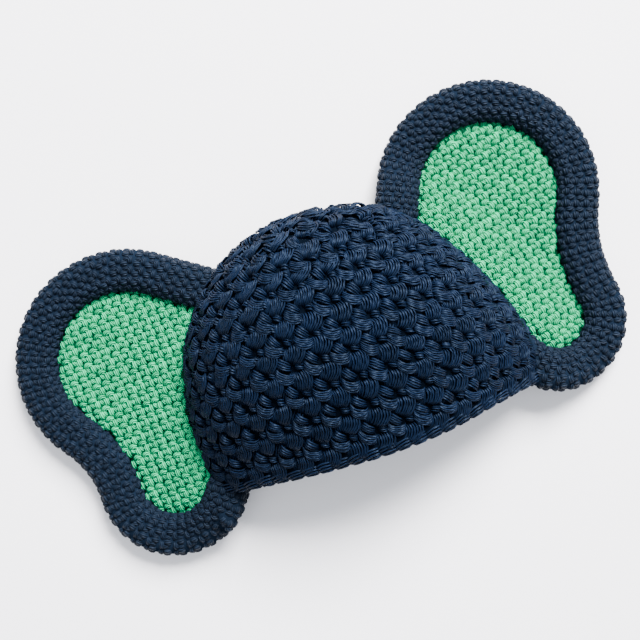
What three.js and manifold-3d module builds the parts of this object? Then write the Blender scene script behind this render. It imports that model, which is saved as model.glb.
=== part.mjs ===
// A crocheted baby hat with two ears, lying on its back on a flat surface.
// Millimetres, +Z up. +X runs across the hat from ear to ear, +Y from the open brim to the closed end.
// The origin is on the crown's underside, midway across it.
// The crown is a hollow knitted wall, open at the brim, with its last round as a band of its own.
// Each ear is a backing and a coloured front panel inside a thick padded rim, sewn to the crown's side.

import * as THREE from 'three';
import { mergeVertices } from 'three/addons/utils/BufferGeometryUtils.js';
import Module from 'manifold-3d';

// Sizes of the crown
const crownWidth = 178; // across the widest part, fold to fold
const crownLength = 121; // from the brim's edge to the closed end
const crownHeight = 58; // top of the upper layer above the surface
const crownWall = 5.5; // thickness of the stitches
const brimAhead = 60; // from the origin to the brim's edge
const brimDepth = 8; // depth of the last round
const brimWall = 6.5; // thickness of the last round
const brimLift = 4; // how far the right-hand end of the brim is drawn up
const brimBow = 3.5; // how far the middle of the brim stands out beyond its ends
const roundPitch = 14.5; // from one crocheted round to the next
const roundRelief = 0.7; // how far a round stands out of the furrows beside it
const pressedFlat = 2; // how far the underside is pressed flat by its weight

// Sizes of the ears
const lobeRadius = 57; // outer radius of the upper lobe
const tipRadius = 39; // outer radius of the lower lobe
const lobeSpacing = 70; // between the centres of the two lobes
const waistRadius = 44; // hollow curve between the lobes of the left ear
const rimWidth = 21.5; // across the padded rim
const rimThickness = 12; // height of the padded rim
const backThickness = 3.6; // backing of the ear
const panelThickness = 3.8; // coloured front panel
const earRise = 8; // lift of the ear where it is sewn to the crown
const riseReach = 34; // width over which the ear rises

// Clearance between pieces that touch
const seamGap = 0.3;

// How finely the curved forms are divided
const crownTurns = 44; // round the crown
const stationsPerRound = 3; // along the crown
const rimSides = 12; // round the rim's section
const brimSides = 10; // round the last round's section
const panelRows = 5; // from an ear's rim to its seam

// Cross sections of the crown, from the brim to the closed end.
// along is a share of the length, half and shift are shares of the half width,
// rise, fold and foot are heights of the top, the side folds and the underside as shares of the height,
// and arch says how full the upper layer is: 2 is an ellipse, less is tented.
const crownSections = [
  { along: 0.0, half: 0.98, shift: 0.0, rise: 0.79, fold: 0.2, foot: 0.0, arch: 1.55 },
  { along: 0.13, half: 1.0, shift: -0.01, rise: 0.88, fold: 0.21, foot: 0.0, arch: 1.65 },
  { along: 0.27, half: 0.99, shift: -0.025, rise: 0.96, fold: 0.22, foot: 0.0, arch: 1.8 },
  { along: 0.41, half: 0.945, shift: -0.045, rise: 1.0, fold: 0.23, foot: 0.0, arch: 1.9 },
  { along: 0.55, half: 0.875, shift: -0.065, rise: 0.995, fold: 0.24, foot: 0.0, arch: 2.0 },
  { along: 0.68, half: 0.785, shift: -0.075, rise: 0.95, fold: 0.25, foot: 0.0, arch: 2.0 },
  { along: 0.8, half: 0.66, shift: -0.07, rise: 0.87, fold: 0.27, foot: 0.0, arch: 2.0 },
  { along: 0.9, half: 0.5, shift: -0.065, rise: 0.75, fold: 0.31, foot: 0.04, arch: 2.0 },
  { along: 0.97, half: 0.29, shift: -0.07, rise: 0.59, fold: 0.37, foot: 0.16, arch: 2.0 },
  { along: 1.0, half: 0.0, shift: -0.08, rise: 0.41, fold: 0.41, foot: 0.41, arch: 2.0 },
];
const underSquareness = 3; // how square the lower layer turns into the side folds

// Where each ear sits. side is -1 for the left and 1 for the right.
// out is the upper lobe's centre beyond the crown's side as a share of the lobe's radius,
// up is the same centre ahead of the origin as a share of the crown's length,
// lean tips the lower lobe outwards in degrees, spread is a share of the lobes' spacing,
// tip is a share of the lower lobe's radius, and waist is a share of the waist's radius.
// enter and leave are the angles at which the rim runs into the crown, above and below.
const ears = [
  { name: 'left', side: -1, out: 0.4, up: 0.158, lean: -3.2, spread: 0.94,
    tip: 0.99, waist: 1, enter: 124, leave: 216 },
  { name: 'right', side: 1, out: 0.04, up: 0.353, lean: 9.4, spread: 1.06,
    tip: 0.93, waist: 1.5, enter: 156, leave: 214 },
];

// Colours of the yarns
const navy = '#1c2f4c';
const green = '#4fcf9b';

const wasm = await Module();
wasm.setup();

const lerp = (a, b, t) => a + (b - a) * t;
const clamp01 = (t) => Math.min(1, Math.max(0, t));
const smooth = (t) => clamp01(t) ** 2 * (3 - 2 * clamp01(t));
const aboveFloor = (p) => p.setZ(Math.max(0, p.z));
const radians = (degrees) => (degrees * Math.PI) / 180;
const signedPower = (value, power) => Math.sign(value) * Math.abs(value) ** power;

// One cross section of the crown in millimetres, at a place between the rows of the table
function crownRow(place) {
  const rows = crownSections;
  const last = rows.length - 1;
  const index = Math.min(last - 1, Math.max(0, Math.floor(place)));
  const t = place - index;
  const row = {};
  for (const key of Object.keys(rows[0])) {
    const p1 = rows[index][key];
    const p2 = rows[index + 1][key];
    const p0 = index > 0 ? rows[index - 1][key] : 2 * p1 - p2;
    // past the closed end the profile comes back on the other side
    const mirrored = key === 'along' ? rows[last - 1].along : 2 * p2 - p1;
    const p3 = index + 2 <= last ? rows[index + 2][key] : mirrored;
    const squared = 2 * p0 - 5 * p1 + 4 * p2 - p3;
    const cubed = 3 * p1 - p0 - 3 * p2 + p3;
    row[key] = 0.5 * (2 * p1 + (p2 - p0) * t + squared * t ** 2 + cubed * t ** 3);
  }
  return {
    y: row.along * crownLength - brimAhead,
    half: (row.half * crownWidth) / 2,
    shift: (row.shift * crownWidth) / 2,
    rise: row.rise * crownHeight,
    fold: row.fold * crownHeight,
    foot: Math.max(0, row.foot) * crownHeight,
    arch: row.arch,
  };
}

// The place in the table that lies a given distance behind the brim's edge
function placeBehindBrim(distance) {
  let low = -1;
  let high = crownSections.length - 2;
  for (let i = 0; i < 40; i += 1) {
    const middle = (low + high) / 2;
    if (crownRow(middle).y + brimAhead < distance) low = middle;
    else high = middle;
  }
  return (low + high) / 2;
}

// The places of the crochet rounds' stations, evenly spaced between the brim and the closed end,
// measured as the mean of the lines over the top and round the side
function roundPlaces(start) {
  const end = crownSections.length - 1;
  const fine = 400;
  const lengths = [0];
  let before = crownRow(start);
  for (let i = 1; i <= fine; i += 1) {
    const here = crownRow(lerp(start, end, i / fine));
    const overTop = Math.hypot(here.y - before.y, here.rise - before.rise);
    const roundSide = Math.hypot(here.y - before.y, here.half - before.half);
    lengths.push(lengths[i - 1] + (overTop + roundSide) / 2);
    before = here;
  }
  const total = lengths[fine];
  const steps = stationsPerRound * Math.max(3, Math.round(total / roundPitch));
  const places = [];
  let at = 0;
  for (let k = 0; k < steps; k += 1) {
    while (lengths[at + 1] < (total * k) / steps) at += 1;
    const t = ((total * k) / steps - lengths[at]) / (lengths[at + 1] - lengths[at]);
    places.push(lerp(start, end, (at + t) / fine));
  }
  return places;
}

// A point of the crown's outer surface. turn runs round the section from 0 at the right-hand fold.
function crownPoint(row, turn) {
  const c = Math.cos(turn);
  const s = Math.sin(turn);
  const power = 2 / (s >= 0 ? row.arch : underSquareness);
  const reach = s >= 0 ? row.rise - row.fold : row.fold - row.foot + pressedFlat;
  const x = row.shift + row.half * signedPower(c, power);
  const z = Math.max(row.fold + reach * signedPower(s, power), row.foot);
  const nearBrim = smooth(1 - (row.y + brimAhead) / (crownLength * 0.4));
  const drawn = brimLift * smooth((x / crownWidth - 0.1) / 0.35) - brimBow * Math.max(0, 1 - c ** 2);
  return new THREE.Vector3(x, row.y + drawn * nearBrim, z);
}

// Points of a section, evenly spaced along its length from the middle of the underside
function crownRing(place, count) {
  const row = crownRow(place);
  const fine = 360;
  const samples = [];
  const lengths = [0];
  for (let i = 0; i <= fine; i += 1) {
    samples.push(crownPoint(row, -Math.PI / 2 + (i / fine) * 2 * Math.PI));
    if (i > 0) lengths.push(lengths[i - 1] + samples[i].distanceTo(samples[i - 1]));
  }
  const ring = [];
  let at = 0;
  for (let k = 0; k < count; k += 1) {
    const wanted = (lengths[fine] * k) / count;
    while (lengths[at + 1] < wanted) at += 1;
    const step = lengths[at + 1] - lengths[at] || 1;
    ring.push(samples[at].clone().lerp(samples[at + 1], (wanted - lengths[at]) / step));
  }
  return ring;
}

// A ring with its outward normals and its directions towards the closed end
function crownFrames(place, count) {
  const nudge = 0.02;
  const here = crownRing(place, count);
  const before = crownRing(place - nudge, count);
  const after = crownRing(place + nudge, count);
  return here.map((point, k) => {
    const along = after[k].clone().sub(before[k]).normalize();
    const around = here[(k + 1) % count].clone().sub(here[(k + count - 1) % count]);
    const outward = new THREE.Vector3().crossVectors(along, around).normalize();
    return { point, along, outward };
  });
}

// A closed body from a list of rings. Each ring is a closed loop of equally many points;
// ends are shut with a point each, or the last ring is joined to the first.
function bodyFromRings(rings, ends) {
  const count = rings[0].length;
  const positions = rings.flat().flatMap((p) => [p.x, p.y, p.z]);
  const indices = [];
  const joins = ends ? rings.length - 1 : rings.length;
  for (let i = 0; i < joins; i += 1) {
    const a = i * count;
    const b = ((i + 1) % rings.length) * count;
    for (let k = 0; k < count; k += 1) {
      const n = (k + 1) % count;
      indices.push(a + k, a + n, b + n, a + k, b + n, b + k);
    }
  }
  if (ends) {
    const first = positions.length / 3;
    for (const p of ends) positions.push(p.x, p.y, p.z);
    const end = (rings.length - 1) * count;
    for (let k = 0; k < count; k += 1) {
      const n = (k + 1) % count;
      indices.push(first, n, k, first + 1, end + k, end + n);
    }
  }
  const geometry = new THREE.BufferGeometry();
  geometry.setAttribute('position', new THREE.Float32BufferAttribute(positions, 3));
  geometry.setIndex(indices);
  return mergeVertices(geometry, 1e-4);
}

// A closed body from two sheets of points, one above the other, divided alike so that they stay parallel
function bodyFromSheets(upper, lower) {
  const across = upper.length;
  const along = upper[0].length;
  const positions = [...upper.flat(), ...lower.flat()].flatMap((p) => [p.x, p.y, p.z]);
  const below = across * along;
  const at = (i, k) => i * along + k;
  const indices = [];
  for (let i = 0; i + 1 < across; i += 1) {
    for (let k = 0; k + 1 < along; k += 1) {
      const [a, b, c, d] = [at(i, k), at(i, k + 1), at(i + 1, k + 1), at(i + 1, k)];
      indices.push(a, b, c, a, c, d);
      indices.push(below + a, below + c, below + b, below + a, below + d, below + c);
    }
  }
  const edge = [];
  for (let k = 0; k < along; k += 1) edge.push(at(0, k));
  for (let i = 1; i < across; i += 1) edge.push(at(i, along - 1));
  for (let k = along - 2; k >= 0; k -= 1) edge.push(at(across - 1, k));
  for (let i = across - 2; i > 0; i -= 1) edge.push(at(i, 0));
  edge.forEach((a, i) => {
    const b = edge[(i + 1) % edge.length];
    indices.push(b, a, below + a, b, below + a, below + b);
  });
  const geometry = new THREE.BufferGeometry();
  geometry.setAttribute('position', new THREE.Float32BufferAttribute(positions, 3));
  geometry.setIndex(indices);
  return mergeVertices(geometry, 1e-4);
}

function signedVolume(geometry) {
  const p = geometry.attributes.position;
  const index = geometry.index.array;
  const [a, b, c] = [new THREE.Vector3(), new THREE.Vector3(), new THREE.Vector3()];
  let volume = 0;
  for (let i = 0; i < index.length; i += 3) {
    a.fromBufferAttribute(p, index[i]);
    b.fromBufferAttribute(p, index[i + 1]);
    c.fromBufferAttribute(p, index[i + 2]);
    volume += a.dot(b.cross(c)) / 6;
  }
  return volume;
}

function facingOut(geometry) {
  if (signedVolume(geometry) < 0) {
    geometry.setIndex(Array.from(geometry.index.array).reverse());
  }
  return geometry;
}

function toManifold(geometry) {
  const out = facingOut(geometry);
  return new wasm.Manifold(
    new wasm.Mesh({
      numProp: 3,
      vertProperties: new Float32Array(out.attributes.position.array),
      triVerts: new Uint32Array(out.index.array),
    }),
  );
}

function fromManifold(solid) {
  const mesh = solid.getMesh();
  const geometry = new THREE.BufferGeometry();
  geometry.setAttribute('position', new THREE.BufferAttribute(new Float32Array(mesh.vertProperties), 3));
  geometry.setIndex(new THREE.BufferAttribute(new Uint32Array(mesh.triVerts), 1));
  return geometry;
}

// Crown: the hollow wall behind the last round, its outside ribbed by the rounds
function crownGeometry() {
  const places = roundPlaces(placeBehindBrim(brimDepth + seamGap));
  const outer = [];
  const inner = [];
  places.forEach((place, i) => {
    const frames = crownFrames(place, crownTurns);
    const fade = smooth((places.length - i) / (2 * stationsPerRound));
    const relief = roundRelief * fade * Math.cos((2 * Math.PI * (i + 1)) / stationsPerRound);
    // the underside is pressed flat, so the rounds stand out only above it
    const ribbed = (f) => f.point.clone().addScaledVector(f.outward, relief * clamp01(f.point.z / crownWall));
    outer.push(frames.map((f) => aboveFloor(ribbed(f))));
    if (i % 2 === 0) inner.push(frames.map((f) => f.point.clone().addScaledVector(f.outward, -crownWall)));
  });
  const tip = crownPoint(crownRow(crownSections.length - 1), 0);
  const innerTip = tip.clone().setY(tip.y - crownWall);
  return bodyFromRings([...inner.reverse(), ...outer], [innerTip, tip]);
}

// Last round: a rounded band along the brim
function brimGeometry() {
  const rings = [];
  const frames = crownFrames(placeBehindBrim(brimDepth / 2), crownTurns);
  for (let j = 0; j < brimSides; j += 1) {
    const angle = (2 * Math.PI * (j + 0.5)) / brimSides;
    const along = (brimDepth / 2) * signedPower(Math.cos(angle), 0.6);
    const outward = (brimWall / 2) * signedPower(Math.sin(angle), 0.6) - crownWall / 2;
    rings.push(
      frames.map((f) => {
        const p = f.point.clone().addScaledVector(f.along, along).addScaledVector(f.outward, outward);
        return aboveFloor(p);
      }),
    );
  }
  return bodyFromRings(rings, null);
}

// Everything that the crown takes up, with the seam's clearance, for trimming the ears.
// Under the folds it goes straight down, so that an ear ends in an edge of some thickness.
function crownEnvelope() {
  const edgeThickness = 2.5;
  const clearance = seamGap + Math.max(roundRelief, (brimWall - crownWall) / 2);
  const start = placeBehindBrim(-seamGap);
  const rings = roundPlaces(start).map((place) =>
    crownFrames(place, crownTurns * 2).map((f) => {
      const p = f.point.clone().addScaledVector(f.outward, clearance);
      return p.z < edgeThickness ? p.setZ(-1) : p;
    }),
  );
  const row = crownRow(start);
  const front = new THREE.Vector3(row.shift, row.y - brimBow, row.fold);
  const tip = crownPoint(crownRow(crownSections.length - 1), 0);
  return bodyFromRings(rings, [front, tip.setY(tip.y + clearance)]);
}

// The line of the crown's side fold that an ear is sewn along
function sideFold(side) {
  const points = [];
  for (let place = 0; place <= crownSections.length - 2; place += 0.5) {
    const row = crownRow(place);
    points.push(new THREE.Vector2(row.shift + side * row.half, row.y));
  }
  return points;
}

// How far a point near the crown is lifted with the ear
function earLift(x, y, fold, side) {
  let nearest = Infinity;
  for (let i = 0; i + 1 < fold.length; i += 1) {
    const [a, b] = [fold[i], fold[i + 1]];
    const step = b.clone().sub(a);
    const t = clamp01(((x - a.x) * step.x + (y - a.y) * step.y) / step.lengthSq());
    const foot = a.clone().addScaledVector(step, t);
    const beyond = side * (x - foot.x) > 0 || y > b.y;
    const away = Math.hypot(x - foot.x, y - foot.y);
    nearest = Math.min(nearest, beyond ? away : 0);
  }
  return earRise * smooth(1 - nearest / riseReach);
}

// The outline of an ear, set in from its outer edge, as points from the crown round and back to it.
// It is two lobes joined by a hollow waist, and straight where the rim runs into the crown.
function earOutline(ear, inset) {
  const upper = new THREE.Vector2(crownWidth / 2 + ear.out * lobeRadius, ear.up * crownLength);
  const spacing = lobeSpacing * ear.spread;
  const lean = radians(ear.lean);
  const lower = new THREE.Vector2(Math.sin(lean), -Math.cos(lean)).multiplyScalar(spacing).add(upper);
  const hollowRadius = waistRadius * ear.waist;
  const toUpper = lobeRadius + hollowRadius;
  const lowerRadius = tipRadius * ear.tip;
  const toLower = lowerRadius + hollowRadius;
  const along = (toUpper ** 2 - toLower ** 2 + spacing ** 2) / (2 * spacing);
  const across = Math.sqrt(Math.max(0, toUpper ** 2 - along ** 2));
  const down = lower.clone().sub(upper).normalize();
  const waist = upper
    .clone()
    .addScaledVector(down, along)
    .add(new THREE.Vector2(-down.y, down.x).multiplyScalar(across));
  const angleTo = (from, to) => Math.atan2(to.y - from.y, to.x - from.x);
  const upperEnd = angleTo(upper, waist);
  const lowerStart = angleTo(lower, waist);
  const enter = radians(ear.enter);
  const leave = radians(ear.leave);
  const runIn = rimWidth * 1.6;
  const points = [];
  const onCircle = (centre, radius, angle, push = 0) => {
    const outward = new THREE.Vector2(Math.cos(angle), Math.sin(angle)).multiplyScalar(radius);
    const tangent = new THREE.Vector2(Math.sin(angle), -Math.cos(angle)).multiplyScalar(push);
    points.push(outward.add(tangent).add(centre));
  };
  for (let i = 3; i > 0; i -= 1) onCircle(upper, lobeRadius - inset, enter, (-runIn * i) / 3);
  for (let i = 0; i <= 15; i += 1) onCircle(upper, lobeRadius - inset, lerp(enter, upperEnd, i / 15));
  const waistFrom = upperEnd + Math.PI;
  const waistTo = lowerStart + Math.PI;
  for (let i = 1; i < 5; i += 1) onCircle(waist, hollowRadius + inset, lerp(waistFrom, waistTo, i / 5));
  for (let i = 0; i <= 11; i += 1) {
    onCircle(lower, lowerRadius - inset, lerp(lowerStart, leave - 2 * Math.PI, i / 11));
  }
  for (let i = 1; i <= 3; i += 1) onCircle(lower, lowerRadius - inset, leave, (runIn * i) / 3);
  return points;
}

// An ear's point in the hat's frame, lifted with the ear near the crown
function earPoint(ear, fold, flat, z) {
  const x = ear.side * flat.x;
  return new THREE.Vector3(x, flat.y, z + earLift(x, flat.y, fold, ear.side));
}

// Padded rim: a rounded section carried along the outline
function rimGeometry(ear) {
  const fold = sideFold(ear.side);
  const sections = [];
  for (let j = 0; j < rimSides; j += 1) {
    const angle = (2 * Math.PI * (j + 0.5)) / rimSides;
    const inset = (rimWidth / 2) * (1 - signedPower(Math.cos(angle), 0.78));
    const height = (rimThickness / 2) * (1 + signedPower(Math.sin(angle), 0.85) * 1.06);
    const z = Math.min(rimThickness, Math.max(0, height));
    sections.push(earOutline(ear, inset).map((p) => earPoint(ear, fold, p, z)));
  }
  const stations = sections[0].map((_, i) => sections.map((line) => line[i]));
  const middle = (ring) => ring.reduce((sum, p) => sum.add(p), new THREE.Vector3()).divideScalar(ring.length);
  return bodyFromRings(stations, [middle(stations[0]), middle(stations[stations.length - 1])]);
}

// Flat layer inside the rim, from the rim to the seam, between two heights
function layerGeometry(ear, bottom, top) {
  const fold = sideFold(ear.side);
  const outline = earOutline(ear, rimWidth + seamGap);
  const first = outline[0];
  const last = outline[outline.length - 1];
  const rows = [];
  for (let j = 0; j <= panelRows; j += 1) {
    rows.push(
      outline.map((p, i) => {
        const seam = first.clone().lerp(last, i / (outline.length - 1));
        return p.clone().lerp(seam, (0.98 * j) / panelRows);
      }),
    );
  }
  const lifted = (z) => rows.map((row) => row.map((p) => earPoint(ear, fold, p, z)));
  return bodyFromSheets(lifted(top), lifted(bottom));
}

function yarn(colour, roughness) {
  return new THREE.MeshStandardMaterial({ color: colour, roughness, metalness: 0, flatShading: true });
}

const envelope = toManifold(crownEnvelope());

// An ear's body as far as the crown, without any sliver left beyond it
function trimmed(geometry) {
  const bodies = toManifold(geometry).subtract(envelope).decompose();
  bodies.sort((a, b) => b.volume() - a.volume());
  return fromManifold(bodies[0]);
}

const hat = new THREE.Group();
function addPiece(name, geometry, material) {
  const mesh = new THREE.Mesh(geometry, material);
  mesh.name = name;
  hat.add(mesh);
}

addPiece('crown', facingOut(crownGeometry()), yarn(navy, 0.85));
addPiece('brim_round', facingOut(brimGeometry()), yarn(navy, 0.85));
for (const ear of ears) {
  const backTop = backThickness;
  const panelBottom = backTop + seamGap;
  addPiece(`ear_${ear.name}_rim`, trimmed(rimGeometry(ear)), yarn(navy, 0.85));
  addPiece(`ear_${ear.name}_back`, trimmed(layerGeometry(ear, 0, backTop)), yarn(navy, 0.9));
  addPiece(
    `ear_${ear.name}_panel`,
    trimmed(layerGeometry(ear, panelBottom, panelBottom + panelThickness)),
    yarn(green, 0.7),
  );
}

export default hat;
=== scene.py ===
"""A crocheted baby hat with two ears, lying on its back, dressed over its plain solids.

Lengths are in metres. +X runs from the left ear to the right ear, +Y from the open brim to the closed end
and +Z up.
"""

import math

import bmesh
import bpy
import numpy as np
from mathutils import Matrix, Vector
from mathutils.bvhtree import BVHTree


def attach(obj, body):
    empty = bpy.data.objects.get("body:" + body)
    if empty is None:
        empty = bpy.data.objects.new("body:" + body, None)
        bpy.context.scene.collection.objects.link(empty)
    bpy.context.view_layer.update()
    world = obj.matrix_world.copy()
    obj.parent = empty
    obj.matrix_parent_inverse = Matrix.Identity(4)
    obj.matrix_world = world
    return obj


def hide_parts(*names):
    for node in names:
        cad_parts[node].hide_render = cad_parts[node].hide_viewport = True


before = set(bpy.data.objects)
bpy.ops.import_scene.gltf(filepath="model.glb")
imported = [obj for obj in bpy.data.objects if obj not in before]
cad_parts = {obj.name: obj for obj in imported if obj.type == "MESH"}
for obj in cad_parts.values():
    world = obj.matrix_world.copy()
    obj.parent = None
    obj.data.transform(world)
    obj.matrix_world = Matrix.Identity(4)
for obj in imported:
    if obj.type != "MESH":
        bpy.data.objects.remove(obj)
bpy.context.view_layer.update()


# Studio
# The hat lies on a plain pale floor under a broad soft light from the upper left of the view.
# The camera looks straight down, turned so that the hat slants across the frame.

view_turn = math.radians(18.5)
view_centre = Vector((-0.0114, 0.0074, 0.0))
view_height = 0.5
view_width = 0.3328
to_right = Vector((math.cos(view_turn), -math.sin(view_turn), 0))
to_top = Vector((math.sin(view_turn), math.cos(view_turn), 0))

camera_data = bpy.data.cameras.new("camera")
camera_data.sensor_width = 36
camera_data.lens = 36 * view_height / view_width
camera = bpy.data.objects.new("camera", camera_data)
camera.location = view_centre + Vector((0, 0, view_height))
camera.rotation_euler = (0, 0, -view_turn)
bpy.context.scene.collection.objects.link(camera)
bpy.context.scene.camera = camera


def soft_light(name, right, top, height, size, watts, colour):
    data = bpy.data.lights.new(name, "AREA")
    data.size = size
    data.energy = watts
    data.color = colour
    light = bpy.data.objects.new(name, data)
    light.location = view_centre + to_right * right + to_top * top + Vector((0, 0, height))
    light.rotation_euler = (view_centre - light.location).to_track_quat("-Z", "Y").to_euler()
    bpy.context.scene.collection.objects.link(light)


soft_light("window", 0.6, 1.8, 1.5, 1.2, 450.0, (1.0, 0.985, 0.98))
soft_light("bounce", -0.6, -0.7, 1.0, 1.2, 6.0, (0.93, 0.97, 1.0))

world = bpy.data.worlds.new("room")
world.use_nodes = True
world.node_tree.nodes["Background"].inputs["Color"].default_value = (0.92, 0.95, 1.0, 1)
world.node_tree.nodes["Background"].inputs["Strength"].default_value = 0.93
bpy.context.scene.world = world

floor_shape = bmesh.new()
bmesh.ops.create_grid(floor_shape, x_segments=1, y_segments=1, size=3.0)
floor_mesh = bpy.data.meshes.new("floor")
floor_shape.to_mesh(floor_mesh)
floor_shape.free()
floor = bpy.data.objects.new("floor", floor_mesh)
bpy.context.scene.collection.objects.link(floor)
floor_paint = bpy.data.materials.new("pale floor")
floor_paint.use_nodes = True
floor_paint.node_tree.nodes["Principled BSDF"].inputs["Base Color"].default_value = (0.96, 0.955, 1.0, 1)
floor_paint.node_tree.nodes["Principled BSDF"].inputs["Roughness"].default_value = 0.9
floor_mesh.materials.append(floor_paint)


# Crown wall
# The crown is worked in rounds of thick navy cotton, closed at one end and open at the brim.
# It lies on its back, so its underside is flat and its upper layer stands up in a low dome.

crown_width = 0.178
crown_length = 0.121
crown_height = 0.058
crown_wall = 0.0055
brim_ahead = 0.060
brim_lift = 0.004
brim_bow = 0.0035
pressed_flat = 0.002
under_squareness = 3

# along the length, half width, shift, top, side fold, underside (shares of the sizes above), and fullness
crown_sections = np.array(
    [
        [0.00, 0.980, 0.000, 0.790, 0.20, 0.00, 1.55],
        [0.13, 1.000, -0.010, 0.880, 0.21, 0.00, 1.65],
        [0.27, 0.990, -0.025, 0.960, 0.22, 0.00, 1.80],
        [0.41, 0.945, -0.045, 1.000, 0.23, 0.00, 1.90],
        [0.55, 0.875, -0.065, 0.995, 0.24, 0.00, 2.00],
        [0.68, 0.785, -0.075, 0.950, 0.25, 0.00, 2.00],
        [0.80, 0.660, -0.070, 0.870, 0.27, 0.00, 2.00],
        [0.90, 0.500, -0.065, 0.750, 0.31, 0.04, 2.00],
        [0.97, 0.290, -0.070, 0.590, 0.37, 0.16, 2.00],
        [1.00, 0.000, -0.080, 0.410, 0.41, 0.41, 2.00],
    ]
)


def spline(a, b, c, d, t):
    """A smooth curve from b to c, with a before and d beyond them."""
    return 0.5 * (2 * b + (c - a) * t + (2 * a - 5 * b + 4 * c - d) * t**2 + (3 * b - a - 3 * c + d) * t**3)


def crown_row(place):
    """The section at a place between the table's rows."""
    before = 2 * crown_sections[0] - crown_sections[1]
    beyond = 2 * crown_sections[-1] - crown_sections[-2]
    beyond[0] = crown_sections[-2][0]
    rows = np.vstack([before, crown_sections, beyond])
    index = int(min(len(crown_sections) - 2, max(0, math.floor(place))))
    row = spline(*rows[index : index + 4], place - index)
    row[5] = max(0, row[5])
    return row * [crown_length, crown_width / 2, crown_width / 2, crown_height, crown_height, crown_height, 1]


def smooth(t):
    t = np.clip(t, 0, 1)
    return t * t * (3 - 2 * t)


def signed_power(value, power):
    return np.sign(value) * np.abs(value) ** power


def evenly(points, count):
    """As many steps of equal length along a line of points."""
    length = np.concatenate([[0], np.cumsum(np.linalg.norm(np.diff(points, axis=0), axis=1))])
    wanted = np.linspace(0, length[-1], count + 1)
    return np.stack([np.interp(wanted, length, points[:, k]) for k in range(points.shape[1])], 1)


def crown_ring(place, count):
    """Points round a section, from the middle of the underside."""
    along, half, shift, top, fold, foot, fullness = crown_row(place)
    turn = np.linspace(-math.pi / 2, 1.5 * math.pi, 721)
    c, s = np.cos(turn), np.sin(turn)
    power = np.where(s >= 0, 2 / fullness, 2 / under_squareness)
    reach = np.where(s >= 0, top - fold, fold - foot + pressed_flat)
    x = shift + half * signed_power(c, power)
    z = np.maximum(fold + reach * signed_power(s, power), foot)
    near_brim = smooth(1 - along / (crown_length * 0.4))
    drawn = brim_lift * smooth((x / crown_width - 0.1) / 0.35) - brim_bow * np.maximum(0, 1 - c**2)
    return evenly(np.stack([x, along - brim_ahead + drawn * near_brim, z], 1), count)


def grid_steps(points, axis, joined):
    """Steps from point to point along an axis of a grid, whose ends may be joined."""
    if not joined:
        return np.gradient(points, axis=axis)
    ring = np.moveaxis(points, axis, 0)[:-1]
    steps = (np.roll(ring, -1, 0) - np.roll(ring, 1, 0)) / 2
    return np.moveaxis(np.concatenate([steps, steps[:1]]), 0, axis)


class Cloth:
    """A surface for stitches, held as a grid of points.

    Rows run up it, and all round it if rolled. Columns run across it, and all round it if closed, to the
    right of someone looking at its face, or to the left if mirrored.
    """

    def __init__(self, points, closed=False, rolled=False, mirrored=False):
        up = grid_steps(points, 0, rolled)
        across = grid_steps(points, 1, closed)
        self.hand = -1 if mirrored else 1
        self.closed = closed
        self.rolled = rolled
        self.points = points
        normal = np.cross(across, up) * self.hand
        self.normal = normal / np.maximum(np.linalg.norm(normal, axis=2, keepdims=True), 1e-12)
        self.row_step = np.linalg.norm(up, axis=2)
        self.column_step = np.linalg.norm(across, axis=2)

    def between(self, field, row, column):
        rows, columns = field.shape[:2]
        row = row % (rows - 1) if self.rolled else np.clip(row, 0, rows - 1.001)
        column = column % (columns - 1) if self.closed else np.clip(column, 0, columns - 1.001)
        i, j = row.astype(int), column.astype(int)
        a, b = row - i, column - j
        if field.ndim == 3:
            a, b = a[..., None], b[..., None]
        near = field[i, j] * (1 - b) + field[i, j + 1] * b
        far = field[i + 1, j] * (1 - b) + field[i + 1, j + 1] * b
        return near * (1 - a) + far * a

    def at(self, row, column, height):
        """Points at a height over the cloth, and its normals there."""
        normal = self.between(self.normal, row, column)
        return self.between(self.points, row, column) + normal * height[..., None], normal


crown_places = np.linspace(0, len(crown_sections) - 1, 600)
crown_steps = np.diff(np.array([crown_row(p) for p in crown_places]), axis=0)
over_top = np.hypot(crown_steps[:, 0], crown_steps[:, 3])
round_side = np.hypot(crown_steps[:, 0], crown_steps[:, 1])
crown_lengths = np.concatenate([[0], np.cumsum((over_top + round_side) / 2)])
crown_reach = crown_lengths[-1]
crown_rows, crown_columns = 150, 360
even_places = np.interp(np.linspace(0, crown_reach, crown_rows + 1), crown_lengths, crown_places)
crown_cloth = Cloth(np.array([crown_ring(p, crown_columns) for p in even_places]), closed=True, mirrored=True)
crown_cloth.normal[-1] = (0, 1, 0)


class Wire:
    """A shader socket on which sums, differences and products can be written."""

    def __init__(self, finish, socket):
        self.finish, self.socket = finish, socket

    def maths(self, operation, first, second):
        return self.finish.make("ShaderNodeMath", {"operation": operation}, {0: first, 1: second})

    def __add__(self, other):
        return self.maths("ADD", self, other)

    def __radd__(self, other):
        return self.maths("ADD", other, self)

    def __sub__(self, other):
        return self.maths("SUBTRACT", self, other)

    def __rsub__(self, other):
        return self.maths("SUBTRACT", other, self)

    def __mul__(self, other):
        return self.maths("MULTIPLY", self, other)

    def __rmul__(self, other):
        return self.maths("MULTIPLY", other, self)


class Finish:
    """A material whose nodes are made one by one, each with its settings and what goes into its sockets."""

    def __init__(self, name):
        self.material = bpy.data.materials.new(name)
        self.material.use_nodes = True
        self.tree = self.material.node_tree
        self.surface = self.tree.nodes["Principled BSDF"]

    def fill(self, node, sockets):
        for key, value in sockets.items():
            if isinstance(value, Wire):
                self.tree.links.new(value.socket, node.inputs[key])
            else:
                node.inputs[key].default_value = value

    def make(self, kind, settings, sockets, output=0):
        node = self.tree.nodes.new(kind)
        for key, value in settings.items():
            setattr(node, key, value)
        self.fill(node, sockets)
        return Wire(self, node.outputs[output])


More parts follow.
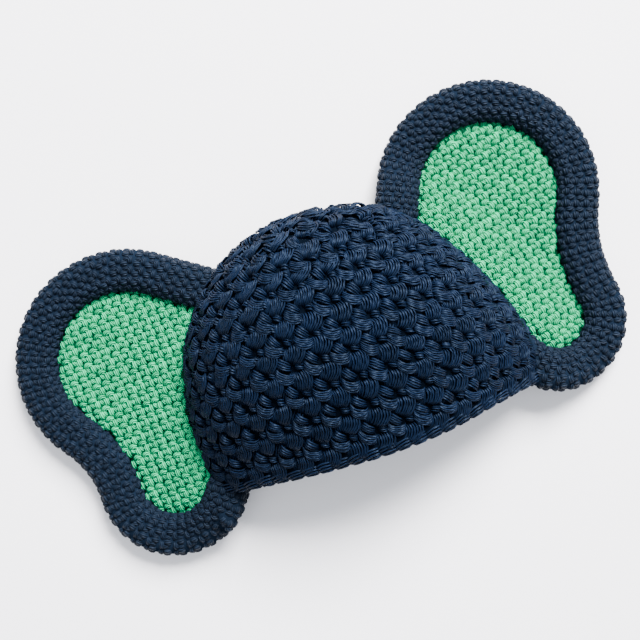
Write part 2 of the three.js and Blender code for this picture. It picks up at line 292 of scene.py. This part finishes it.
def felted_core(name, deep, bright):
    """The yarn between and under the stitches, matted and fibrous, mixed between a deep and a bright colour;
    where these are set darker than the yarn, the darkness is painted shade.
    """
    finish = Finish(name)
    place = finish.make("ShaderNodeTexCoord", {}, {}, 3)
    fibre = finish.make("ShaderNodeTexNoise", {}, {"Vector": place, "Scale": 900.0, "Detail": 3.0})
    shades = {0: fibre, 6: (*deep, 1), 7: (*bright, 1)}
    colour = finish.make("ShaderNodeMix", {"data_type": "RGBA"}, shades, 2)
    bump = finish.make("ShaderNodeBump", {}, {"Height": fibre, "Strength": 0.6, "Distance": 0.0004})
    matt = {"Base Color": colour, "Roughness": 0.95, "Specular IOR Level": 0.0, "Normal": bump}
    finish.fill(finish.surface, matt)
    return finish.material


def show(name, mesh, material, node):
    """A piece in the hat's frame that rides on the hat and stands for one of its solids."""
    mesh.materials.append(material)
    piece = bpy.data.objects.new(name, mesh)
    bpy.context.scene.collection.objects.link(piece)
    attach(piece, "root")
    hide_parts(node)
    return piece


def sheet_mesh(name, rows, columns, place, lost=None, thickness=0.0):
    """Faces in a grid, laid where the place function puts its shares, less what is lost, and closed."""
    shape = bmesh.new()
    bmesh.ops.create_grid(shape, x_segments=columns, y_segments=rows, size=0.5)
    share = np.array([v.co[:2] for v in shape.verts]) + 0.5
    points = place(share[:, 1], share[:, 0])
    for vert, point in zip(shape.verts, points):
        vert.co = point
    if lost is not None:
        gone = [vert for vert, is_lost in zip(shape.verts[:], lost(points)) if is_lost]
        bmesh.ops.delete(shape, geom=gone, context="VERTS")
    bmesh.ops.remove_doubles(shape, verts=shape.verts, dist=1e-5)
    bmesh.ops.recalc_face_normals(shape, faces=shape.faces)
    if thickness:
        bmesh.ops.solidify(shape, geom=shape.faces[:], thickness=thickness)
    bmesh.ops.holes_fill(shape, edges=[e for e in shape.edges if e.is_boundary], sides=0)
    bmesh.ops.recalc_face_normals(shape, faces=shape.faces)
    for face in shape.faces:
        face.smooth = True
    mesh = bpy.data.meshes.new(name)
    shape.to_mesh(mesh)
    shape.free()
    return mesh


# The navy core is painted far darker than the navy yarn, as painted shade in the gaps between and under the
# stitches.
navy_core_painted_shade = felted_core("navy core painted dark as shade", (0.0006, 0.0012, 0.0025), (0.0018, 0.0036, 0.0075))
stitch_depth = 0.0019
lining_depth = 0.001
wall_start_row = 2.5


def crown_wall_place(up, across):
    inner = up < 0.5
    row = np.where(inner, 1 - 2 * up, 2 * up - 1) * crown_rows
    height = np.where(inner, lining_depth - crown_wall, -stitch_depth)
    return crown_cloth.at(np.maximum(row, wall_start_row), across * crown_columns, height)[0]


show("crown_wall", sheet_mesh("crown_wall", 90, 120, crown_wall_place), navy_core_painted_shade, "crown")


# Crown stitches
# Each stitch is a bundle of fine strands that comes up, crosses its neighbours and goes down again.
# Upright bundles and slanting pairs take turns round the crown, like basketwork.

strand_radius = 0.0005
cell_width = 0.0139
cell_height = 0.0127
lean_of_stitches = math.radians(-18.5)
step_aside = 0.00103
first_round = 0.0068
bundle_sink = 0.0009
first_row, last_row = 2, crown_rows - 3
closed_end_row = 0.72 * crown_rows
looseness = {"sides": 1.0, "closed end": 2.4}

# Bundles in millimetres from the middle of their place in the pattern: the first strand and the last,
# each as points to the right, up and off the cloth
upright_bundle = [
    [(-3.9, 3.4, -1.5), (-3.0, 1.8, 0.4), (-2.6, -0.8, 0.2), (-3.2, -3.6, 0.3), (-4.0, -5.2, -1.5)],
    [(2.0, 6.2, -1.5), (3.8, 4.6, 0.9), (4.5, 0.6, 1.2), (2.8, -3.6, 1.5), (0.6, -6.2, -1.5)],
]
slanting_bundle = [
    [(-3.0, 5.1, -1.5), (-1.4, 4.6, 1.0), (1.4, 3.2, 1.0), (3.6, 1.5, -1.3)],
    [(-4.4, 2.0, -1.5), (-2.4, 1.4, 1.0), (0.8, -0.1, 1.0), (3.4, -1.1, -1.3)],
]
hooked_bundle = [
    [(-5.0, 1.6, -1.5), (-3.0, -0.4, 1.0), (0.2, -1.6, 1.1), (3.6, -1.4, 0.8), (5.0, -0.6, -1.3)],
    [(-4.9, -1.8, -1.5), (-3.0, -4.2, 1.0), (0.2, -5.7, 1.3), (3.4, -5.1, 1.0), (4.8, -3.6, -1.3)],
]
lower_link = [
    [(-2.4, 0.9, -1.4), (-0.8, 1.2, 0.4), (1.0, 1.0, 0.4), (2.4, 0.2, -1.4)],
    [(-2.2, -1.1, -1.4), (-0.6, -1.0, 0.5), (1.2, -1.2, 0.5), (2.4, -1.8, -1.4)],
]
filling_bundle = [
    [(-7.2, 3.0, -1.6), (-6.4, 0.6, -0.5), (-6.2, -2.4, -0.6), (-6.8, -5.4, -1.6)],
    [(-3.2, 3.6, -1.6), (-3.0, 0.8, -0.5), (-3.0, -2.4, -0.6), (-3.6, -6.0, -1.6)],
]
corner_bundle = [
    [(5.2, 2.0, -1.6), (4.6, 0.0, -0.6), (3.8, -4.0, -0.7), (2.8, -7.6, -1.6)],
    [(8.6, 1.0, -1.6), (8.2, -1.4, -0.6), (7.2, -5.0, -0.7), (6.4, -8.0, -1.6)],
]
side_link = [
    [(-2.0, 3.4, -1.4), (-0.6, 3.6, 0.4), (1.0, 3.2, 0.4), (2.2, 2.4, -1.4)],
    [(-2.2, 1.4, -1.4), (-0.6, 1.4, 0.5), (0.8, 1.0, 0.5), (2.0, 0.4, -1.4)],
]

chance = np.random.default_rng(7)


def bundle(sides, strands, steps, fullness=0.0004):
    """Smooth paths of the strands between a bundle's two sides, in metres, highest in the middle."""
    first, last = np.array(sides) / 1000
    share = np.linspace(0, 1, strands)[:, None, None]
    knots = first * (1 - share) + last * share
    knots[:, 1:-1, 2] += fullness * (1 - (2 * share[:, 0] - 1) ** 2)
    knots = np.concatenate([2 * knots[:, :1] - knots[:, 1:2], knots, 2 * knots[:, -1:] - knots[:, -2:-1]], 1)
    t = np.linspace(0, knots.shape[1] - 3, steps + 1)
    i = np.minimum(t.astype(int), knots.shape[1] - 4)
    return spline(*(knots[:, i + k] for k in range(4)), (t - i)[None, :, None])


def lay_bundles(cloth, row, column, paths, loose=1.0, turn=0.0, size=(1, 1, 1), sink=0.0):
    """Copies of a bundle at grid places of a cloth, each a little turned, stretched and shifted."""
    count = len(row)
    turn = chance.normal(turn, 0.09 * loose, count)[:, None, None]
    stretch = chance.normal(1, 0.05 * loose, (count, 3)) * size
    shift = chance.normal(0, 0.00035 * loose, (count, 2))
    wander = chance.normal(0, 0.00008 * loose, (count, paths.shape[0], 1, 3))
    x, y, h = np.moveaxis(paths[None] * stretch[:, None, None] + wander, 3, 0)
    right = x * np.cos(turn) - y * np.sin(turn) + shift[:, 0, None, None]
    up = x * np.sin(turn) + y * np.cos(turn) + shift[:, 1, None, None]
    row_step = cloth.between(cloth.row_step, row, column)[:, None, None]
    column_step = cloth.between(cloth.column_step, row, column)[:, None, None]
    rows = row[:, None, None] + up / row_step
    columns = column[:, None, None] + cloth.hand * right / column_step
    points, normal = cloth.at(rows, columns, h - sink)
    tone = 0.5 * chance.uniform(0, 1, (count, 1)) + 0.5 * chance.uniform(0, 1, (count, paths.shape[0]))
    return points.reshape(-1, *points.shape[2:]), normal.reshape(-1, *points.shape[2:]), tone.ravel()


def plain_strand(sides, steps):
    """A closed tube of unit length and radius, drawn out of a circle."""
    shape = bmesh.new()
    bmesh.ops.create_circle(shape, segments=sides, radius=1)
    edges = shape.edges[:]
    for _ in range(steps):
        drawn = bmesh.ops.extrude_edge_only(shape, edges=edges)["geom"]
        verts = [g for g in drawn if isinstance(g, bmesh.types.BMVert)]
        bmesh.ops.translate(shape, verts=verts, vec=(0, 0, 1 / steps))
        edges = [g for g in drawn if isinstance(g, bmesh.types.BMEdge) and all(v in verts for v in g.verts)]
    bmesh.ops.holes_fill(shape, edges=shape.edges, sides=sides)
    bmesh.ops.recalc_face_normals(shape, faces=shape.faces)
    shape.verts.index_update()
    points = np.array([v.co for v in shape.verts])
    faces = [[v.index for v in f.verts] for f in shape.faces]
    shape.free()
    return points, faces


def strand_mesh(name, groups, radius, sides, lost=None):
    """One mesh of all the strands in the groups, each the plain strand bent along its own path."""
    paths = np.concatenate([g[0] for g in groups])
    normals = np.concatenate([g[1] for g in groups])
    tones = np.concatenate([g[2] for g in groups])
    group_radii = np.broadcast_to(radius, len(groups))
    radii = np.concatenate([np.full(len(g[0]), r) for g, r in zip(groups, group_radii)])
    if lost is not None:
        kept = ~lost(paths[:, paths.shape[1] // 2])
        paths, normals, tones, radii = paths[kept], normals[kept], tones[kept], radii[kept]
    steps = paths.shape[1] - 1
    points, faces = plain_strand(sides, steps)
    level = np.rint(points[:, 2] * steps).astype(int)
    angle = np.arctan2(points[:, 1], points[:, 0])
    tangent = np.gradient(paths, axis=1)
    tangent /= np.maximum(np.linalg.norm(tangent, axis=2, keepdims=True), 1e-12)
    beside = np.cross(normals, tangent)
    beside /= np.maximum(np.linalg.norm(beside, axis=2, keepdims=True), 1e-12)
    above = np.cross(tangent, beside)
    taper = np.interp(np.linspace(0, 1, steps + 1), [0, 0.2, 0.8, 1], [0.6, 1, 1, 0.6])
    ring = beside[:, level] * np.cos(angle)[:, None] + above[:, level] * np.sin(angle)[:, None]
    verts = paths[:, level] + ring * (radii[:, None] * taper[level])[:, :, None]
    count, per_strand = len(paths), len(points)

    corners = np.concatenate([np.array(f) for f in faces])
    sizes = np.array([len(f) for f in faces])
    around = angle[corners] / (2 * math.pi) % 1
    for start, size in zip(np.concatenate([[0], np.cumsum(sizes)[:-1]]), sizes):
        part = around[start : start + size]
        if part.max() - part.min() > 0.5:
            part[part < 0.5] += 1
    steps_along = np.linalg.norm(np.diff(paths, axis=1), axis=2)
    length = np.concatenate([np.zeros((count, 1)), np.cumsum(steps_along, axis=1)], 1)
    along = length[:, level[corners]] * 1000 + chance.uniform(0, 9, (count, 1))

    mesh = bpy.data.meshes.new(name)
    mesh.vertices.add(count * per_strand)
    mesh.vertices.foreach_set("co", verts.astype(np.float32).ravel())
    loops = (corners[None, :] + np.arange(count)[:, None] * per_strand).ravel()
    mesh.loops.add(len(loops))
    mesh.loops.foreach_set("vertex_index", loops.astype(np.int32))
    all_sizes = np.tile(sizes, count)
    mesh.polygons.add(len(all_sizes))
    starts = np.concatenate([[0], np.cumsum(all_sizes)[:-1]])
    mesh.polygons.foreach_set("loop_start", starts.astype(np.int32))
    mesh.polygons.foreach_set("loop_total", all_sizes.astype(np.int32))
    mesh.polygons.foreach_set("use_smooth", np.ones(len(all_sizes), bool))
    pairs = np.stack([np.tile(around, count), along.ravel()], 1)
    mesh.uv_layers.new(name="strand").data.foreach_set("uv", pairs.astype(np.float32).ravel())
    tones = np.repeat(tones, per_strand).astype(np.float32)
    mesh.attributes.new("tone", "FLOAT", "POINT").data.foreach_set("value", tones)
    mesh.update()
    mesh.validate()
    return mesh


def twisted_cotton(name, deep, bright, glint, plies, twist, groove, gloss):
    """Glossy cotton with plies twisted round each strand, fine fibres, a shade that varies by strand, and
    painted shade in the grooves between the plies with painted highlight on their ridges.
    """
    finish = Finish(name)
    place = finish.make("ShaderNodeUVMap", {"uv_map": "strand"}, {})
    around = finish.make("ShaderNodeSeparateXYZ", {}, {0: place}, 0)
    along = finish.make("ShaderNodeSeparateXYZ", {}, {0: place}, 1)
    turn = (around * plies + along * twist) * (2 * math.pi)
    # The ply wave makes the bump and also paints the colour: painted shade in the grooves, painted highlight on
    # the ridges.
    ply_relief_and_shade = finish.make("ShaderNodeMath", {"operation": "SINE"}, {0: turn})
    fibre_place = finish.make("ShaderNodeCombineXYZ", {}, {0: around * 9 + along * 1.6, 1: along * 0.35})
    fibre = finish.make("ShaderNodeTexNoise", {}, {"Vector": fibre_place, "Scale": 1.0, "Detail": 2.0})
    tone = finish.make("ShaderNodeAttribute", {"attribute_name": "tone"}, {}, 2)
    # The colour mixes a random tone per strand, fibre streaks, and the ply wave's painted shade and highlight.
    share = tone * 0.45 + fibre * 0.5 + ply_relief_and_shade * 0.35 - 0.05
    shades = {0: share, 6: (*deep, 1), 7: (*bright, 1)}
    colour = finish.make("ShaderNodeMix", {"data_type": "RGBA", "clamp_factor": True}, shades, 2)
    bump = finish.make("ShaderNodeBump", {}, {"Height": ply_relief_and_shade * 0.5 + fibre * 0.6, "Distance": groove})
    finish.fill(
        finish.surface,
        {
            "Base Color": colour,
            "Roughness": fibre * 0.3 + 0.38,
            "Specular IOR Level": gloss,
            "Specular Tint": (*glint, 1),
            "Normal": bump,
        },
    )
    return finish.material


navy_cotton = twisted_cotton(
    "navy cotton", (0.0004, 0.0014, 0.004), (0.0019, 0.007, 0.0232), (0.45, 0.66, 1.0), 3, 0.2, 0.0002, 0.16
)


def crown_pattern(beside, below):
    """Grid places of the pattern's cells, round after round, moved by shares of a cell."""
    rows, columns = [], []
    count = 0
    for k in range(int(crown_reach / cell_height) + 1):
        level, row = (first_round + np.array([k, k - below]) * cell_height) / crown_reach * crown_rows
        ring = crown_cloth.points[int(min(level, last_row - 1))]
        girth = np.linalg.norm(np.diff(ring, axis=0), axis=1).sum()
        if abs(girth / cell_width - count) > 1.5:
            count = max(4, round(girth / cell_width))
        if first_row < row < last_row:
            start = beside + (k - below) * step_aside / cell_width
            rows.append(np.full(count, row))
            columns.append((np.arange(count) - start) / count * crown_columns)
    return np.concatenate(rows), np.concatenate(columns) % crown_columns


def crown_bundles(cloth, chosen, strands, steps, sink):
    """Every bundle of the crown within the columns chosen, looser near the closed end."""
    # a bundle and its place in the pattern, as shares of a cell to the right and down
    recipe = [
        (upright_bundle, 0.0, 0.0),
        (slanting_bundle, 0.5, 0.5),
        (hooked_bundle, 0.5, 0.5),
        (lower_link, 0.0, 0.5),
        (side_link, 0.5, 0.0),
        (filling_bundle, 0.0, 0.0),
        (corner_bundle, 0.0, 0.0),
    ]
    groups = []
    for (sides, beside, below), number in zip(recipe, strands):
        if not number:
            continue
        row, column = crown_pattern(beside, below)
        for where, loose in looseness.items():
            part = chosen(column) & ((row > closed_end_row) == (where == "closed end"))
            if part.any():
                paths = bundle(sides, number, steps)
                laid = lay_bundles(cloth, row[part], column[part], paths, loose, lean_of_stitches, sink=sink)
                groups.append(laid)
    return groups


def is_upper(column):
    return (column > 0.25 * crown_columns) & (column < 0.75 * crown_columns)


def is_under(column):
    return ~is_upper(column)


def is_any(column):
    return column >= 0


lining_cloth = Cloth(crown_cloth.points - crown_cloth.normal * crown_wall, closed=True)

# name, cloth, columns covered, strands in each bundle of the recipe, steps along a strand, thickness, sides
crown_pieces = [
    ("crown_upper_stitches", crown_cloth, is_upper, (7, 4, 5, 0, 0, 0, 0), 7, 1.0, 5),
    ("crown_upper_links", crown_cloth, is_upper, (0, 0, 0, 3, 3, 5, 4), 5, 1.0, 5),
    ("crown_under_stitches", crown_cloth, is_under, (6, 3, 4, 3, 2, 3, 3), 6, 1.1, 4),
    ("crown_lining_stitches", lining_cloth, is_any, (3, 2, 2, 0, 0, 0, 0), 5, 1.6, 4),
]
for name, cloth, chosen, strands, steps, thickness, sides in crown_pieces:
    bundles = crown_bundles(cloth, chosen, strands, steps, bundle_sink)
    mesh = strand_mesh(name, bundles, strand_radius * thickness, sides)
    show(name, mesh, navy_cotton, "crown")


# Brim round
# The last round wraps over the open edge in short bundles, which give the edge its soft scallops.
# Its core is a closed rounded band as deep as the round.

brim_depth = 0.008
brim_wall = 0.0065
brim_row = brim_depth / 2 / crown_reach * crown_rows
brim_steps = 48
brim_stitch_depth = 0.0011
brim_sink = 0.0007


def crown_line(row):
    """A row of the crown all the way round, and its normals."""
    columns = np.arange(crown_columns + 1.0)
    return crown_cloth.at(np.full(len(columns), row), columns, np.zeros(len(columns)))


brim_points, brim_normals = crown_line(brim_row)
brim_backward = crown_line(brim_row + 3)[0] - brim_points
brim_backward /= np.linalg.norm(brim_backward, axis=1, keepdims=True)
brim_turn = np.linspace(0, 2 * math.pi, brim_steps + 1)
brim_section = np.stack(
    [
        brim_depth / 2 * signed_power(np.cos(brim_turn), 0.6),
        brim_wall / 2 * signed_power(np.sin(brim_turn), 0.6) - crown_wall / 2,
    ],
    1,
)
brim_places = evenly(brim_section, brim_steps)
brim_grid = np.array([brim_points + brim_backward * back + brim_normals * out for back, out in brim_places])
brim_grid[..., 2] = np.maximum(brim_grid[..., 2], 0)
brim_cloth = Cloth(brim_grid, closed=True, rolled=True)


def brim_core_place(up, across):
    return brim_cloth.at(up * brim_steps, across * crown_columns, np.full(len(up), -brim_stitch_depth))[0]


# The brim core takes the navy core's painted shade.
show("brim_core", sheet_mesh("brim_core", 16, 120, brim_core_place), navy_core_painted_shade, "brim_round")

# Bundles that lie along the open edge, and others along its inner side
edge_bundle = [
    [(-8.0, -4.6, -1.3), (-5.0, -5.6, 0.4), (0.0, -6.0, 0.7), (5.0, -5.4, 0.4), (8.0, -3.8, -1.3)],
    [(-7.2, 6.2, -1.3), (-4.4, 5.0, 0.5), (0.2, 4.2, 0.9), (4.8, 4.6, 0.5), (7.4, 6.2, -1.3)],
]
inner_bundle = [
    [(-7.6, -3.6, -1.3), (-4.6, -4.0, 0.3), (0.0, -4.0, 0.4), (4.6, -3.6, 0.3), (7.6, -2.6, -1.3)],
    [(-7.6, 3.0, -1.3), (-4.6, 4.0, 0.3), (0.0, 4.2, 0.4), (4.6, 4.0, 0.3), (7.6, 3.2, -1.3)],
]
brim_girth = np.linalg.norm(np.diff(brim_points, axis=0), axis=1).sum()
# row of the section, bundle, strands, width on the edge, stretch and turn
brim_bundles = [(21.5, edge_bundle, 8, 0.0079, 0.66, 0.16), (38.0, inner_bundle, 6, 0.0139, 1.0, 0.0)]
brim_groups = []
for row, sides, strands, width, stretch, turn in brim_bundles:
    count = round(brim_girth / width)
    rows, columns = np.full(count, row), np.arange(count) / count * crown_columns
    paths = bundle(sides, strands, 6)
    laid = lay_bundles(brim_cloth, rows, columns, paths, 0.6, turn, (stretch, 1, 1), brim_sink)
    brim_groups.append(laid)
brim_mesh = strand_mesh("brim_stitches", brim_groups, strand_radius, 5)
show("brim_stitches", brim_mesh, navy_cotton, "brim_round")


# Ear rims
# Each rim is a stuffed roll of single crochet that runs from the crown round the ear and back to the crown.
# It is shaped like two lobes with a hollow waist between them, and lifts where it is sewn on.

lobe_radius = 0.057
tip_radius = 0.039
lobe_spacing = 0.070
waist_radius = 0.044
rim_width = 0.0215
rim_thickness = 0.012
ear_rise = 0.008
rise_reach = 0.034
tucked_into_crown = 0.0015

ears = {
    "left": {"side": -1, "out": 0.40, "up": 0.158, "lean": -3.2, "spread": 0.94, "tip": 0.99, "waist": 1.0,
             "enter": 124, "leave": 216, "rows_turn": 4.0},
    "right": {"side": 1, "out": 0.04, "up": 0.353, "lean": 9.4, "spread": 1.06, "tip": 0.93, "waist": 1.5,
              "enter": 156, "leave": 214, "rows_turn": 12.1},
}


def angle_to(start, end):
    return math.atan2(end[1] - start[1], end[0] - start[0])


def ear_outline(ear, inset):
    """The right-hand form of an ear's outline, set in from its edge, from the crown round and back to it."""
    upper = np.array([crown_width / 2 + ear["out"] * lobe_radius, ear["up"] * crown_length])
    lean = math.radians(ear["lean"])
    down = np.array([math.sin(lean), -math.cos(lean)])
    spacing = lobe_spacing * ear["spread"]
    lower = upper + down * spacing
    lower_radius = tip_radius * ear["tip"]
    hollow = waist_radius * ear["waist"]
    along = ((lobe_radius + hollow) ** 2 - (lower_radius + hollow) ** 2 + spacing**2) / (2 * spacing)
    across = math.sqrt((lobe_radius + hollow) ** 2 - along**2)
    waist = upper + down * along + np.array([-down[1], down[0]]) * across
    enter, leave = math.radians(ear["enter"]), math.radians(ear["leave"]) - 2 * math.pi
    upper_end, lower_start = angle_to(upper, waist), angle_to(lower, waist)
    arcs = [
        (upper, lobe_radius - inset, np.linspace(enter, upper_end, 90)),
        (waist, hollow + inset, np.linspace(upper_end, lower_start, 32)[1:-1] + math.pi),
        (lower, lower_radius - inset, np.linspace(lower_start, leave, 60)),
    ]
    line = [centre + radius * np.stack([np.cos(turn), np.sin(turn)], 1) for centre, radius, turn in arcs]
    run_in = 1.6 * rim_width * np.linspace(0, 1, 13)[1:, None]
    start = line[0][0] - run_in[::-1] * [math.sin(enter), -math.cos(enter)]
    end = line[-1][-1] + run_in * [math.sin(leave), -math.cos(leave)]
    return np.concatenate([start, *line, end])


def off_line(points, line):
    """Each point's nearest place on a line: how far along each segment, how far away, and on which side."""
    a, b = line[:-1], line[1:]
    step = b - a
    t = np.clip(((points[:, None] - a) * step).sum(2) / (step**2).sum(1), 0, 1)
    foot = a + t[..., None] * step
    away = np.linalg.norm(points[:, None] - foot, axis=2)
    side = step[:, 0] * (points[:, None, 1] - a[:, 1]) - step[:, 1] * (points[:, None, 0] - a[:, 0])
    return foot, away, side


def ear_lift(ear, points):
    """How far points near the crown are lifted with the ear."""
    rows = np.array([crown_row(place) for place in np.arange(0, len(crown_sections) - 1.5, 0.5)])
    fold = np.stack([rows[:, 2] + ear["side"] * rows[:, 1], rows[:, 0] - brim_ahead], 1)
    foot, away, _ = off_line(points, fold)
    beyond = (ear["side"] * (points[:, None, 0] - foot[..., 0]) > 0) | (points[:, None, 1] > fold[1:, 1])
    nearest = np.where(beyond, away, 0).min(1)
    return ear_rise * smooth(1 - nearest / rise_reach)


def crown_skin_place(up, across):
    return crown_cloth.at(up * crown_rows, across * crown_columns, np.zeros(len(up)))[0]


crown_skin = sheet_mesh("crown_skin", 60, 100, crown_skin_place)
skin_points = [v.co for v in crown_skin.vertices]
crown_tree = BVHTree.FromPolygons(skin_points, [p.vertices for p in crown_skin.polygons])
bpy.data.meshes.remove(crown_skin)


def in_crown(points, depth=0.0):
    """Which points lie inside the crown by more than a depth."""
    found = np.zeros(len(points), bool)
    for k, point in enumerate(points):
        brim_edge = -brim_ahead + brim_lift * smooth((point[0] / crown_width - 0.1) / 0.35)
        if abs(point[0]) > crown_width / 2 or point[1] < brim_edge:
            continue
        near, normal, _, _ = crown_tree.find_nearest(Vector(point))
        found[k] = (Vector(point) - near).dot(normal) < -depth
    return found


rim_steps = 48
rim_columns = 260


def rim_cloth(ear, steps):
    """The rim's surface: rows round its section from the middle of the underside, columns along it."""
    turn = np.linspace(-math.pi / 2, 1.5 * math.pi, 241)
    inset = rim_width / 2 * (1 - signed_power(np.cos(turn), 0.78))
    height = np.clip(rim_thickness / 2 * (1 + signed_power(np.sin(turn), 0.85) * 1.06), 0, rim_thickness)
    section = evenly(np.stack([inset, height], 1), rim_steps)
    middle = ear_outline(ear, rim_width / 2)
    length = np.concatenate([[0], np.cumsum(np.linalg.norm(np.diff(middle, axis=0), axis=1))])
    wanted = np.interp(np.linspace(0, length[-1], steps + 1), length, np.arange(len(middle)))
    grid = []
    for inset, height in section:
        line = ear_outline(ear, inset)
        x, y = (np.interp(wanted, np.arange(len(line)), line[:, k]) for k in (0, 1))
        flat = np.stack([ear["side"] * x, y], 1)
        grid.append(np.column_stack([flat, height + ear_lift(ear, flat)]))
    return Cloth(np.array(grid), rolled=True, mirrored=ear["side"] > 0), length[-1]


# A single crochet stitch: the loop that lies across it and its two legs
loop_over = [[(-1.6, -0.6, -0.9), (-0.95, 0.05, 0.3), (0.65, 0.25, 0.45), (1.4, -0.5, -0.7)]]
left_leg = [[(-1.0, -1.0, -0.6), (-0.95, -1.7, 0.25), (-0.75, -2.7, 0.25), (-0.5, -3.8, -0.8)]]
right_leg = [[(1.95, -1.6, -0.7), (1.9, -2.3, 0.25), (1.55, -3.6, 0.25), (1.2, -4.8, -0.8)]]
stitch_radii = (0.00155, 0.00125, 0.00165)


def single_crochet(cloth, row, column, steps, size, turn=0.0, sink=0.0):
    """Groups of loops and legs at grid places of a cloth."""
    groups = []
    for part in (loop_over, left_leg, right_leg):
        paths = bundle([part[0], part[0]], 1, steps)
        groups.append(lay_bundles(cloth, row, column, paths, 0.4, turn, size, sink))
    return groups


rim_cotton = twisted_cotton(
    "navy rim cotton", (0.002, 0.004, 0.008), (0.0061, 0.0121, 0.0243), (0.7, 0.8, 1.0), 8, 0.5, 0.0004, 0.08
)
rim_core = felted_core("navy rim core", (0.003, 0.006, 0.012), (0.0055, 0.0105, 0.0205))
rim_rows = 11
rim_stitch_length = 0.0059
rim_stitch_size = (1.02, 1, 0.45)
rim_yarn = 1.06
rim_sink = 0.0012
pad_depth = 0.0005
for name, ear in ears.items():
    cloth, length = rim_cloth(ear, rim_columns)

    def pad_place(up, across):
        return cloth.at(up * rim_steps, across * rim_columns, np.full(len(up), -pad_depth))[0]

    def deep_in_crown(points):
        return in_crown(points, tucked_into_crown)

    pad = sheet_mesh(f"ear_{name}_rim_pad", 24, 160, pad_place, deep_in_crown)
    show(f"ear_{name}_rim_pad", pad, rim_core, f"ear_{name}_rim")
    count = round(length / rim_stitch_length)
    around = (np.arange(rim_rows) + 0.5) / rim_rows * rim_steps
    row, column = np.meshgrid(around, (np.arange(count) + 0.5) / count * rim_columns)
    stitches = single_crochet(cloth, row.ravel(), column.ravel(), 4, rim_stitch_size, math.pi / 2, rim_sink)
    radii = np.array(stitch_radii) * rim_yarn
    mesh = strand_mesh(f"ear_{name}_rim_stitches", stitches, radii, 8, in_crown)
    show(f"ear_{name}_rim_stitches", mesh, rim_cotton, f"ear_{name}_rim")


# Ear panels and backs
# A flat mint panel of single crochet fills each rim, and a navy one backs it.
# Both are sewn into the rim and along the crown's side.

panel_bottom = 0.0039
panel_thickness = 0.0038
panel_top = panel_bottom + panel_thickness
panel_cell = (0.0051, 0.0059)
panel_dip = 0.0016
dip_width = 0.005
layer_reach = 0.1
layer_steps = 120
layer_edge = 0.095
layer_sink = 0.0012
ground_depth = 0.0013
ground_thickness = 0.0015
ground_tuck = 0.002
stitch_tuck = 0.0006

mint_cotton = twisted_cotton(
    "mint cotton", (0.0, 0.07, 0.024), (0.0, 0.5, 0.205), (0.2, 1.0, 0.6), 8, 0.5, 0.0005, 0.6
)
# The mint core is painted far darker than the mint yarn, as painted shade in the gaps between and under the
# stitches.
mint_core_painted_shade = felted_core("mint core painted dark as shade", (0.0, 0.02, 0.007), (0.0, 0.05, 0.02))


def inside_rim(ear, points):
    """How far points are inside the rim's inner edge, less than nothing past it."""
    _, away, side = off_line(points[:, :2] * [ear["side"], 1], ear_outline(ear, rim_width))
    nearest = away.argmin(1)
    index = np.arange(len(points))
    return np.where(side[index, nearest] < 0, away[index, nearest], -away[index, nearest])


def layer_cloth(ear, height, dip, mirrored):
    """A flat surface inside the rim, along its own rows, that is lifted with the ear and dips under the rim."""
    turn = math.radians(ear["rows_turn"])
    centre = ear_outline(ear, 0).mean(0) * [ear["side"], 1]
    span = np.linspace(-layer_reach, layer_reach, layer_steps + 1)
    up, across = np.meshgrid(span, span, indexing="ij")
    x = centre[0] + across * math.cos(turn) - up * math.sin(turn)
    y = centre[1] + across * math.sin(turn) + up * math.cos(turn)
    flat = np.stack([x.ravel(), y.ravel()], 1)
    z = height + ear_lift(ear, flat) - dip * smooth(1 - inside_rim(ear, flat) / dip_width)
    return Cloth(np.stack([x, y, z.reshape(x.shape)], 2), mirrored=mirrored)


for name, ear in ears.items():
    # name, height, dip, mirrored, core, cotton, slot, steps along a strand, sides of a strand
    layers = [
        ("back", 0.0, 0.0, True, rim_core, rim_cotton, "navy_yarn", 4, 4),
        ("panel", panel_top, panel_dip, False, mint_core_painted_shade, mint_cotton, "mint_yarn", 5, 8),
    ]
    for layer, height, dip, mirrored, core, cotton, slot, steps, sides in layers:
        cloth = layer_cloth(ear, height, dip, mirrored)

        def ground_place(up, across):
            return cloth.at(up * layer_steps, across * layer_steps, np.full(len(up), -ground_depth))[0]

        def off_ground(points):
            return (inside_rim(ear, points) < -ground_tuck) | in_crown(points, tucked_into_crown)

        def off_layer(points):
            return (inside_rim(ear, points) < -stitch_tuck) | in_crown(points)

        ground = sheet_mesh(f"ear_{name}_{layer}_ground", 90, 90, ground_place, off_ground, ground_thickness)
        show(f"ear_{name}_{layer}_ground", ground, core, f"ear_{name}_{layer}")
        across, up = (
            np.arange(-layer_edge, layer_edge, cell) / (2 * layer_reach) * layer_steps + layer_steps / 2
            for cell in panel_cell
        )
        row, column = (g.ravel() for g in np.meshgrid(up, across, indexing="ij"))
        middle = cloth.at(row, column, np.zeros(len(row)))[0]
        kept = (inside_rim(ear, middle) > -2 * ground_tuck) & ~in_crown(middle, 2 * tucked_into_crown)
        stitches = single_crochet(cloth, row[kept], column[kept], steps, (1, 1, 1), sink=layer_sink)
        mesh = strand_mesh(f"ear_{name}_{layer}_stitches", stitches, stitch_radii, sides, off_layer)
        show(f"ear_{name}_{layer}_stitches", mesh, cotton, f"ear_{name}_{layer}")
